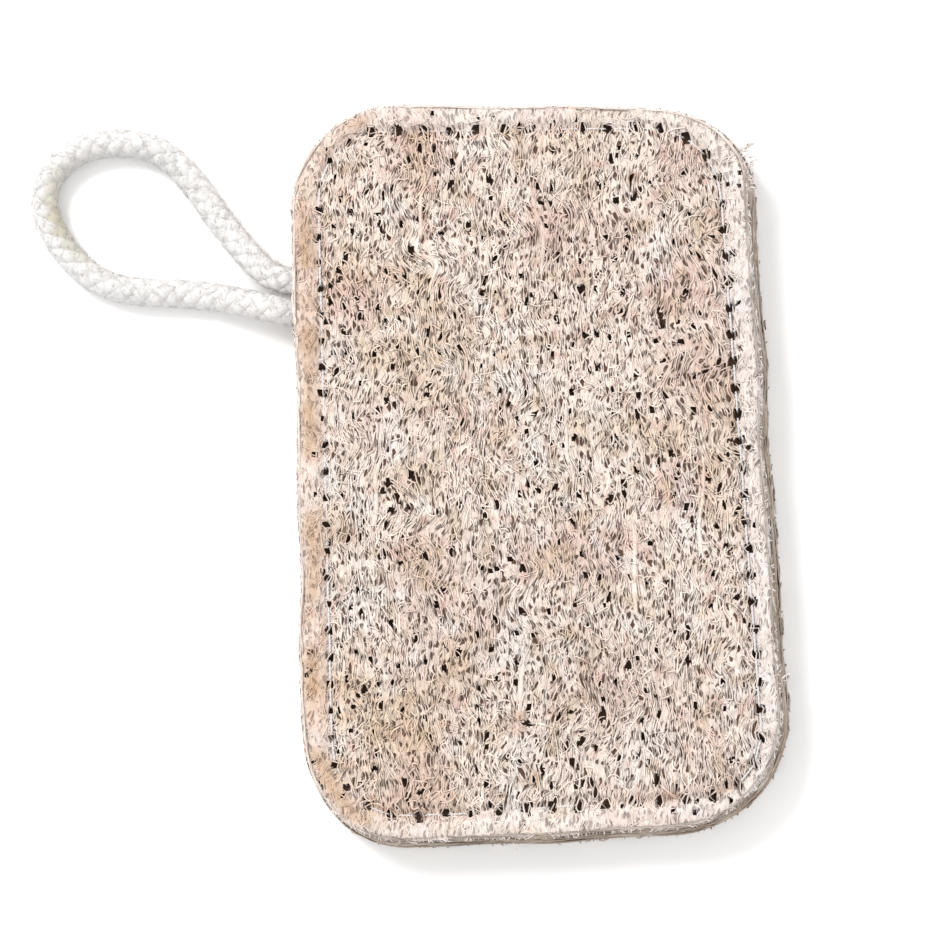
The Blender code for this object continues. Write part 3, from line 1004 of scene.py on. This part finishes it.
def long_fibres(sheet, strands, pitch, lean, radius, step, depth, shade, seed):
    """A close layer of fibres that run the length of the sheet."""
    rng = sheet.rng(seed)
    reach = HALF_WIDTH + HALF_LENGTH * abs(math.tan(lean))
    starts = np.arange(-reach, reach, pitch)
    starts = starts + rng.uniform(-0.12, 0.12, len(starts)) * pitch
    ys = np.arange(-HALF_LENGTH, HALF_LENGTH, step / 3)
    x, y = np.meshgrid(starts, ys, indexing="ij")
    rank = np.arange(len(starts))[:, None] * 1.0 + 0 * y
    x = x + y * math.tan(lean) + WANDER * MM * noise(rank * 0.037, y, 0.0016, seed + 41)
    x = x + 1.3 * WANDER * MM * noise(rank * 0.039, y, 0.0042, seed + 47)
    width = radius * rng.uniform(0.85, 1.15, (len(starts), 1)) + 0 * y
    light = shade * rng.uniform(0.92, 1.08, (len(starts), 1)) + 0 * y
    lay_fibres(sheet, strands, x, y, width, depth, light, 3, 0.12, seed)


def mid_fibres(sheet, strands, cell, length, radius, turn, step, depth, shade, seed):
    """Fibres of a middling length that overlap, lean and merge."""
    rng = sheet.rng(seed)
    x0, y0 = scatter(cell[0] * MM, cell[1] * MM, 0.5, rng)
    count = len(x0)
    size = rng.uniform(*length, count) * MM
    fine = step / 2
    steps = int(max(length) * MM / fine)
    s = (np.arange(steps) - steps / 2) * fine
    rank = np.arange(count)[:, None] * 1.0 + 0 * s[None]
    heading = math.pi / 2 + turn * rng.normal(0, 1, (count, 1))
    heading = heading + 0.55 * turn * 2 * noise(rank * 0.031, 0 * rank + s[None], 0.0045, seed + 45)
    x = x0[:, None] + np.cumsum(np.cos(heading), 1) * fine
    y = y0[:, None] + (np.cumsum(np.sin(heading), 1) - steps / 2) * fine
    width = rng.uniform(*radius, (count, 1)) * MM
    light = shade * rng.uniform(0.90, 1.10, (count, 1))
    sunk = depth + rng.uniform(-0.10, 0.26, (count, 1)) * MM
    end = size[:, None] / 2
    near_end = np.clip((end - abs(s)[None]) / (1.6 * MM), 0, 1)
    width = width * (0.30 + 0.70 * np.sqrt(near_end))
    sunk = sunk + 0.20 * MM * (1 - near_end)
    x = np.where(abs(s)[None] < end, x, 1.0)
    lay_fibres(sheet, strands, x, y, width, sunk, light + 0 * width, 2, 0.10, seed)


SHORT_TAPER = np.array((0.45, 0.8, 1.0, 1.0, 1.0, 0.8, 0.45))


def short_fibres(sheet, strands, count, length, radius, turn, lift, seed, where=None):
    """Short curling fibres that lie on the net."""
    rng = sheet.rng(seed)
    steps = len(SHORT_TAPER)
    x0 = rng.uniform(-0.0385, 0.0385, count)
    y0 = rng.uniform(-0.0575, 0.0575, count)
    if where is not None:
        kept = where(x0, y0)
        x0, y0 = x0[kept], y0[kept]
        count = len(x0)
    size = rng.uniform(*length, count) * MM
    heading = math.pi / 2 + turn * rng.normal(0, 1, count)
    curl = rng.normal(0, 0.55, count)
    curl2 = rng.normal(0, 0.35, count)
    t = np.linspace(-0.5, 0.5, steps)[None]
    angle = heading[:, None] + curl[:, None] * t * 2 + curl2[:, None] * np.sin(5 * t)
    stretch = size[:, None] / (steps - 1)
    x = x0[:, None] + np.cumsum(np.cos(angle), 1) * stretch
    y = y0[:, None] + np.cumsum(np.sin(angle), 1) * stretch
    x, y = clear_needles(x, y)
    inside, z, tint = sheet.look(x, y)
    width = rng.uniform(*radius, count) * MM
    rise = rng.uniform(*lift, count) * MM
    light = rng.uniform(0.90, 1.10, count)
    blocked = at_needles(x.ravel(), y.ravel()).reshape(x.shape).any(1)
    for k in np.flatnonzero(~blocked):
        points = sheet.place(x[k], y[k], z[k] + rise[k] - width[k] * 0.7)
        size, tone = width[k] * SHORT_TAPER, tint[k] * light[k]
        add_run(strands, points, size, tone, inside[k], -0.10 * MM, sheet.up, 0.5, 2)


def mesh_rims(sheet, strands, share, seed):
    """Thin fibres that curl round some of the meshes."""
    rng = sheet.rng(seed)
    net = sheet.net
    for k in np.flatnonzero(net.mesh_w > 0.16 * MM):
        if rng.uniform() > share:
            continue
        sweep = rng.uniform(3.2, 6.0)
        turn = rng.uniform(0, 2 * np.pi) + np.linspace(0, sweep, 10)
        wide, tall = net.mesh_w[k] + 0.10 * MM, net.mesh_l[k] + 0.14 * MM
        across, along = wide * np.cos(turn), tall * np.sin(turn)
        cosine, sine = math.cos(net.mesh_turn[k]), math.sin(net.mesh_turn[k])
        x = net.mesh_x[k] + across * cosine - along * sine
        y = net.mesh_y[k] + across * sine + along * cosine
        x, y = net.draw(x, y)
        inside, z, tint = sheet.look(x, y)
        z = z - rng.uniform(0.10, 0.40) * MM
        tint = tint * rng.uniform(0.80, 1.0)
        width = np.full(10, rng.uniform(0.10, 0.17) * MM)
        add_run(strands, sheet.place(x, y, z), width, tint, inside, 0.3 * MM, sheet.up)


# Long thick strands: place across (mm), from, to (mm), half width (mm)
THICK_FRONT = (
    (-22.5, -16.0, 2.0, 0.40),
    (-2.6, -43.0, -26.0, 0.48),
    (2.4, 28.0, 42.0, 0.44),
    (-16.5, 24.0, 44.0, 0.34),
    (14.5, -22.0, -8.0, 0.38),
    (-27.0, -42.0, -28.0, 0.34),
    (24.0, -14.0, 2.0, 0.34),
    (5.8, -4.0, 9.0, 0.34),
    (-5.5, 44.0, 52.0, 0.36),
)


def thick_strands(sheet, strands, rows, seed):
    rng = sheet.rng(seed)
    for across, low, high, half in rows:
        count = max(8, int((high - low) / 0.8))
        y = np.linspace(low, high, count) * MM
        x = across * MM + 0.5 * MM * ripple(y, across, 0.011, seed + 3)
        x, y = clear_needles(*sheet.net.draw(x, y))
        inside, z, tint = sheet.look(x, y)
        share = np.linspace(0, 1, count)
        width = half * MM * (0.30 + 0.70 * np.minimum(1, np.minimum(share, 1 - share) * 5))
        width = width * (1 + 0.12 * ripple(y, across, 0.004, seed + 4))
        z = z - 0.20 * MM - width * 0.45
        tint = tint * rng.uniform(0.78, 0.88)
        add_run(strands, sheet.place(x, y, z), width, tint, inside, 0.0, sheet.up)


MAT_COUNT = 260
MAT_RINGS = 26
MAT_INSET = 0.75 * MM
MAT_DEPTH = 1.75 * MM


def make_mat(sheet, material):
    """The packed inside of a sheet, seen only through its meshes, coloured dark as painted shade."""
    edge, out = sheet.ring.at(np.arange(MAT_COUNT) / MAT_COUNT * sheet.ring.length)
    edge = edge - out * MAT_INSET
    centre = edge.mean(0)
    verts, tints = [], []
    for share in np.linspace(1, 0, MAT_RINGS + 1)[:-1]:
        x, y = (centre + (edge - centre) * share).T
        z = sheet.face(x, y) - MAT_DEPTH + 0.25 * MM * noise(x, y, 0.0016, sheet.seed + 61)
        verts.append(sheet.place(x, y, z))
        # Painted shade: dark under the fibres, the shaded wall colour at the rim and round the base.
        tints.append(np.broadcast_to(MAT_PAINTED_SHADE if tints else SHADED_WALL * 0.6, (MAT_COUNT, 3)))
    verts.append(sheet.place(centre[0:1], centre[1:2], np.array([PAD_THICKNESS - 2 * MM])))
    tints.append(MAT_PAINTED_SHADE[None])
    inner = PAD_THICKNESS / 2 + SHEET_GAP / 2
    verts.append(sheet.place(edge[:, 0], edge[:, 1], np.full(MAT_COUNT, inner)))
    tints.append(np.broadcast_to(SHADED_WALL * 0.5, (MAT_COUNT, 3)))

    tip = MAT_RINGS * MAT_COUNT
    base = tip + 1
    i = np.arange(MAT_COUNT)
    bands = [ring_quads(MAT_COUNT, row, row + MAT_COUNT) for row in range(0, tip - MAT_COUNT, MAT_COUNT)]
    bands.append(ring_quads(MAT_COUNT, base, 0))
    last = tip - MAT_COUNT
    middle = np.stack((last + i, last + (i + 1) % MAT_COUNT, np.full(MAT_COUNT, tip)), 1)
    faces = [*np.vstack(bands).tolist(), *middle.tolist(), (base + i[::-1]).tolist()]
    if sheet.facing > 0:
        faces = [face[::-1] for face in faces]
    starts = np.cumsum([0, *map(len, faces[:-1])])
    mesh = raw_mesh(np.vstack(verts), np.concatenate(faces), starts, np.vstack(tints))
    obj = sheet.add("mat", mesh, material, (sheet.name + "_sheet",))


def make_web(sheet, material, spacing):
    """The merged fibres between the strands: one open-meshed layer just under them."""
    xs = np.arange(-HALF_WIDTH, HALF_WIDTH, spacing)
    ys = np.arange(-HALF_LENGTH, HALF_LENGTH, spacing)
    x, y = (v.ravel() for v in np.meshgrid(xs, ys, indexing="ij"))
    opened = sheet.net.opened(x, y, WEB_OPEN)
    places = np.stack((x, y), -1)
    x, y = sheet.net.draw(x, y)
    inside = sheet.ring.inside(x, y)
    step = 0.2 * MM
    slope_x = (sheet.ring.inside(x + step, y) - sheet.ring.inside(x - step, y)) / (2 * step)
    slope_y = (sheet.ring.inside(x, y + step) - sheet.ring.inside(x, y - step)) / (2 * step)
    pull = np.maximum(0, WEB_MARGIN - inside)
    x, y = x + slope_x * pull, y + slope_y * pull
    drop = np.where(inside < WEB_MARGIN - 1.2 * spacing, True, opened)
    seam = abs(SEAM_RING.inside(x, y)) < 1.5 * MM
    drop[seam] |= at_needles(x[seam], y[seam], NEEDLE_OPEN + WEB_HOLE_MARGIN)
    inside = np.maximum(inside, WEB_MARGIN)
    rim = ease(-SEAM_RING.inside(x, y), -0.6 * MM, 0.5 * MM)
    depth = WEB_DEPTH * (1 - rim) + WEB_RIM_DEPTH * rim
    z = sheet.face(x, y, inside) - depth + 0.10 * MM * noise(x, y, 0.0011, sheet.seed + 81)
    # The web under the fibres is darkened as painted shade.
    tint = fibre_tint(sheet, x, y, inside) * (0.78 + 0.06 * rim)[:, None]
    rows, columns = len(xs), len(ys)
    corner = (np.arange(rows - 1)[:, None] * columns + np.arange(columns - 1)[None]).ravel()
    quads = np.stack((corner, corner + columns, corner + columns + 1, corner + 1), 1)
    quads = quads[~drop[quads].any(1)]
    if sheet.facing < 0:
        quads = quads[:, ::-1]
    used, index = np.unique(quads, return_inverse=True)
    verts = sheet.place(x[used], y[used], z[used])
    slits = (1 - 0.50 * rim)[used]
    mesh = raw_mesh(verts, index.ravel(), np.arange(len(quads)) * 4, tint[used], slits, places[used])
    sheet.add("web", mesh, material)


# The pad's side

SIDE_FIBRES_FRONT = 1050
SIDE_FIBRES_BACK = 800
SIDE_COUNT = 900
SIDE_HEIGHTS = np.array((0.0, 0.3, 0.8, 1.3, 1.9, 2.5, 3.1, 3.5, 3.8, 4.0)) * MM
SIDE_TAPER = np.array((0.4, 0.8, 1, 1, 1, 1, 0.8, 0.4))


LEG_CLEAR = CORD_RADIUS + 0.55 * MM


def round_cord(x, y, z):
    """Heights of side fibres, parted round the two legs of the cord where it comes out."""
    gap = np.zeros(np.shape(z))
    for leg in CORD_LEGS_Y:
        d = abs(y - leg)
        clear = np.sqrt(np.maximum(0, LEG_CLEAR**2 - d * d))
        gap = np.maximum(gap, np.where(x < 0, clear, 0))
    half = PAD_THICKNESS / 2
    far = abs(z - half)
    return half + np.sign(z - half) * (gap + far * (half - gap) / half)


def side_in_shade(out):
    """1 on the right and lower sides, which lean out and are painted in shade, 0 on the upright others,
    painted pale as lit.
    """
    return ease(out[:, 0] - out[:, 1], -0.2, 0.9)


def side_reach(sheet, height, out):
    """How far the side stands out of the outline. The front's may slant out to meet the back's."""
    if sheet.facing > 0:
        slant = 0.60 * MM * side_in_shade(out) * (1 - ease(height, 0.0, 3.4 * MM))
        return slant - 0.24 * MM - 0.35 * MM * ease(height, 3.2 * MM, 4.3 * MM)
    return -0.30 * MM - 0.55 * MM * ease(height, 2.9 * MM, 4.3 * MM)


def side_tint(x, y, height, out, seed):
    """Matted fibre, brown-beige in painted shade, paler towards the face, and painted pale as lit on the
    upper and left sides.
    """
    tint = np.broadcast_to(SHADED_WALL, (*np.shape(x), 3))
    tint = blend(tint, MATTED, 0.10 + 0.30 * noise(x + y, height * 2, 0.0035, seed))
    tint = blend(tint, TAN, 0.25 * ease(noise(x - y, height, 0.006, seed + 1), 0.0, 0.9))
    # The sides facing the light are painted pale as lit.
    tint = blend(tint, CREAM, 0.90 * (1 - side_in_shade(out)))
    return blend(tint, MATTED, 0.5 * ease(height, 3.5 * MM, 4.3 * MM))


def make_side(sheet, material):
    """The matted side of a sheet, as one band round it."""
    far = np.arange(SIDE_COUNT) / SIDE_COUNT * sheet.ring.length
    point, out = sheet.ring.at(far)
    verts, tints = [], []
    for height in SIDE_HEIGHTS:
        bumps = 0.16 * MM * ripple(far, height * 3, 0.0022, sheet.seed + 91)
        bumps = bumps + 0.10 * MM * ripple(far, height * 5, 0.0008, sheet.seed + 92)
        reach = side_reach(sheet, height, out) - 0.10 * MM + bumps
        x, y = (point + out * reach[:, None]).T
        z = PAD_THICKNESS / 2 + SHEET_GAP * 0.2 + height
        z = round_cord(x, y, np.full(SIDE_COUNT, z))
        verts.append(sheet.place(x, y, z))
        tints.append(side_tint(x, y, height + 0 * far, out, sheet.seed + 93))
    rows = range(0, SIDE_COUNT * (len(SIDE_HEIGHTS) - 1), SIDE_COUNT)
    quads = np.vstack([ring_quads(SIDE_COUNT, row, row + SIDE_COUNT) for row in rows])
    if sheet.facing > 0:
        quads = quads[:, ::-1]
    mesh = raw_mesh(np.vstack(verts), quads.ravel(), np.arange(len(quads)) * 4, np.vstack(tints))
    sheet.add("side_band", mesh, material)


def side_fibres(sheet, strands, seed):
    """Fibres that run slanting round the side, mostly sunk in it."""
    rng = sheet.rng(seed)
    ring = sheet.ring
    for k in range(SIDE_FIBRES_FRONT if sheet.facing > 0 else SIDE_FIBRES_BACK):
        size = rng.uniform(3.0, 12.0) * MM if k % 3 else rng.uniform(1.0, 3.5) * MM
        slant = rng.normal(0, 0.16 if k % 3 else 0.6)
        t = np.linspace(-0.5, 0.5, len(SIDE_TAPER))
        s = rng.uniform(0, ring.length) + t * size * math.cos(slant)
        bend = 0.25 * MM * ripple(s, k * 0.013, 0.003, seed + 5)
        height = rng.uniform(0.0, 4.0) * MM + t * size * math.sin(slant) + bend
        height = np.clip(height, 0.05 * MM, 4.0 * MM)
        width = rng.uniform(0.09, 0.20) * MM * SIDE_TAPER
        point, out = ring.at(s)
        reach = side_reach(sheet, height, out) + rng.uniform(-0.16, 0.02) * MM
        x, y = (point + out * reach[:, None]).T
        z = PAD_THICKNESS / 2 + SHEET_GAP / 2 + width * 0.7 + height
        z = round_cord(x, y, np.minimum(z, PAD_THICKNESS - 0.3 * MM))
        tint = side_tint(x, y, height, out, sheet.seed + 93) * rng.uniform(0.78, 1.15)
        up = np.concatenate((out, np.zeros((len(t), 1))), 1)
        strands.add(sheet.place(x, y, z), width, tint, up)


TIP_TAPER = np.array((1, 1, 0.95, 0.85, 0.65, 0.35))

# Loose tips at the rim: place (mm), where the tip goes (mm), how many, spread (mm)
LOOSE_TIPS = (
    ((36.2, -31.8), (2.3, 1.3), 2, 0.3),
    ((-2.8, -55.4), (0.5, -2.4), 2, 0.3),
    ((31.6, 45.2), (1.3, 0.4), 22, 2.4),
    ((32.0, 41.6), (1.2, -0.3), 10, 1.2),
)


def loose_tips(sheet, strands, seed):
    """Fibres that the cut left standing out of the rim."""
    rng = sheet.rng(seed)
    t = np.linspace(0, 1, len(TIP_TAPER))
    for (x0, y0), (far_x, far_y), count, spread in LOOSE_TIPS:
        for _ in range(count):
            size = rng.uniform(0.6, 1.0)
            bow = rng.uniform(-0.35, 0.35) * np.sin(np.pi * t)
            x = x0 + rng.uniform(-0.4, 0.4) * spread + far_x * size * t - far_y * bow
            y = y0 + rng.uniform(-1, 1) * spread + far_y * size * t + far_x * bow
            z = PAD_THICKNESS - (1.5 + rng.uniform(-0.3, 0.3) - 0.5 * t) * MM
            width = rng.uniform(0.11, 0.18) * MM * TIP_TAPER
            tint = MATTED * rng.uniform(0.92, 1.04)
            strands.add(np.stack((x * MM, y * MM, z), 1), width, tint, sheet.up)


# Lockstitch thread

THREAD_PLY = 0.110 * MM
PLY_OFFSET = 0.08 * MM
PLY_LEAD = 1.3 * MM
STITCH_DEPTH = 1.16 * MM
STITCH_DIP = 1.5 * MM
END_SINK = 0.35 * MM
LEFT_SINK = 0.15 * MM


def make_thread(sheet, node, name, material):
    """Two-ply thread: a stitch from hole to hole, dipping into each."""
    strands = Strands()
    holes = NEEDLE_RING.points
    for k in range(STITCHES):
        a, b = holes[k], holes[(k + 1) % STITCHES]
        far = np.linspace(0, 1, 16)
        bow = 0.10 * MM * noise(np.array(k * 0.1), np.array(0.0), 0.05, 90) * np.sin(far * np.pi)
        span = (b - a) / np.linalg.norm(b - a)
        line = a + (b - a) * (0.09 + 0.82 * far[:, None]) + np.array((-span[1], span[0])) * bow[:, None]
        dip = np.minimum(1, np.minimum(far, 1 - far) / 0.10)
        base = PAD_THICKNESS - STITCH_DEPTH
        if sheet.facing > 0 and abs(a[1]) > END_SEAM_Y:
            base -= END_SINK
        elif sheet.facing > 0 and a[0] < LEFT_SEAM_X:
            base -= LEFT_SINK
        z = base - STITCH_DIP * (1 - np.sin(dip * np.pi / 2)) + 0.12 * MM * np.sin(far * np.pi)
        middle = sheet.place(line[:, 0], line[:, 1], z)
        _, side, up = line_frames(middle)
        length = far_along(middle)
        for ply in (0, 1):
            angle = 2 * np.pi * length / PLY_LEAD + np.pi * ply
            out = side * np.cos(angle)[:, None] + up * np.sin(angle)[:, None]
            strands.add(middle + out * PLY_OFFSET, THREAD_PLY, THREAD, sheet.up)
    add_piece(name, strand_mesh(strands, 5, 1.0, 0.25), material, (node,))


def on_rim(x, y):
    return SEAM_RING.inside(x, y) < 0.2 * MM


# Each sheet's layers (mm): web spacing, pitch of long fibres, cell of crossing fibres, step, then how many
# short fibres
LAYERS = {
    "front": (0.37, 0.82, (0.72, 2.7), 0.54, 2600),
    "back": (0.46, 1.15, (1.3, 4.5), 0.90, 700),
}


def make_sheet(sheet, net_material, wall_material, web):
    """One sheet's mat, web, fibres and side. The front has finer layers, thick strands and loose tips."""
    front = sheet.facing > 0

    def add(part, strands, sides, squash, edge_shade, material=net_material, slits=1.0):
        sheet.add(part, strand_mesh(strands, sides, squash, edge_shade, slits), material)

    spacing, pitch, cell, step, count = LAYERS[sheet.name]
    make_mat(sheet, net_material)
    make_web(sheet, web, spacing * MM)

    top = Strands()
    long_fibres(sheet, top, pitch * MM, math.radians(-5), 0.20 * MM, step * MM, 0.17 * MM, 0.96, 9)
    add("net_top", top, 3, 0.85, 0.52, web, 0.72)

    cross = Strands()
    mid_fibres(sheet, cross, cell, (1.8, 5.5), (0.15, 0.26), 0.42, step * MM, 0.10 * MM, 1.0, 2)
    add("net_cross", cross, 3, 0.85, 0.48, web, 0.58)

    loose = Strands()
    short_fibres(sheet, loose, count, (0.9, 2.8), (0.10, 0.19), 0.75, (-0.22, 0.0), 3)
    short_fibres(sheet, loose, 2 * count, (1.0, 3.5), (0.09, 0.18), 1.2, (-0.20, 0.0), 4, on_rim)
    mesh_rims(sheet, loose, 0.6, 8)
    if front:
        loose_tips(sheet, loose, 11)
    add("fibres", loose, 3, 0.8, 0.12)

    if front:
        thick = Strands()
        thick_strands(sheet, thick, THICK_FRONT, 6)
        add("thick_fibres", thick, 6, 0.45, 0.20)

    make_side(sheet, wall_material)
    wall = Strands()
    side_fibres(sheet, wall, 7)
    add("side", wall, 4, 0.8, 0.40, wall_material)


def main():
    make_camera()
    make_light()
    make_floor()
    cord_material = fibre_material("cotton_cord", 0.88, (2600, 2600, 2600), 0.10, 0.55, 0.00012)
    thread_material = fibre_material("cotton_thread", 0.80, (3500, 3500, 3500), 0.08, 0.4, 0.00006)
    make_cord(cord_material)
    net_material = fibre_material("loofah_fibre", 0.78, (3200, 900, 3200), 0.20, 0.6, 0.00010)
    wall_material = fibre_material("loofah_rim", 0.85, (1600, 1600, 4200), 0.16, 0.6, 0.00010)
    front = Sheet("front", FRONT_RING, 1, 3)
    back = Sheet("back", BACK_RING, -1, 8)
    web = web_material("loofah_web")
    make_sheet(front, net_material, wall_material, web)
    make_sheet(back, net_material, wall_material, web)
    make_thread(front, "needle_thread", "front_stitches", thread_material)
    make_thread(back, "bobbin_thread", "back_stitches", thread_material)


main()
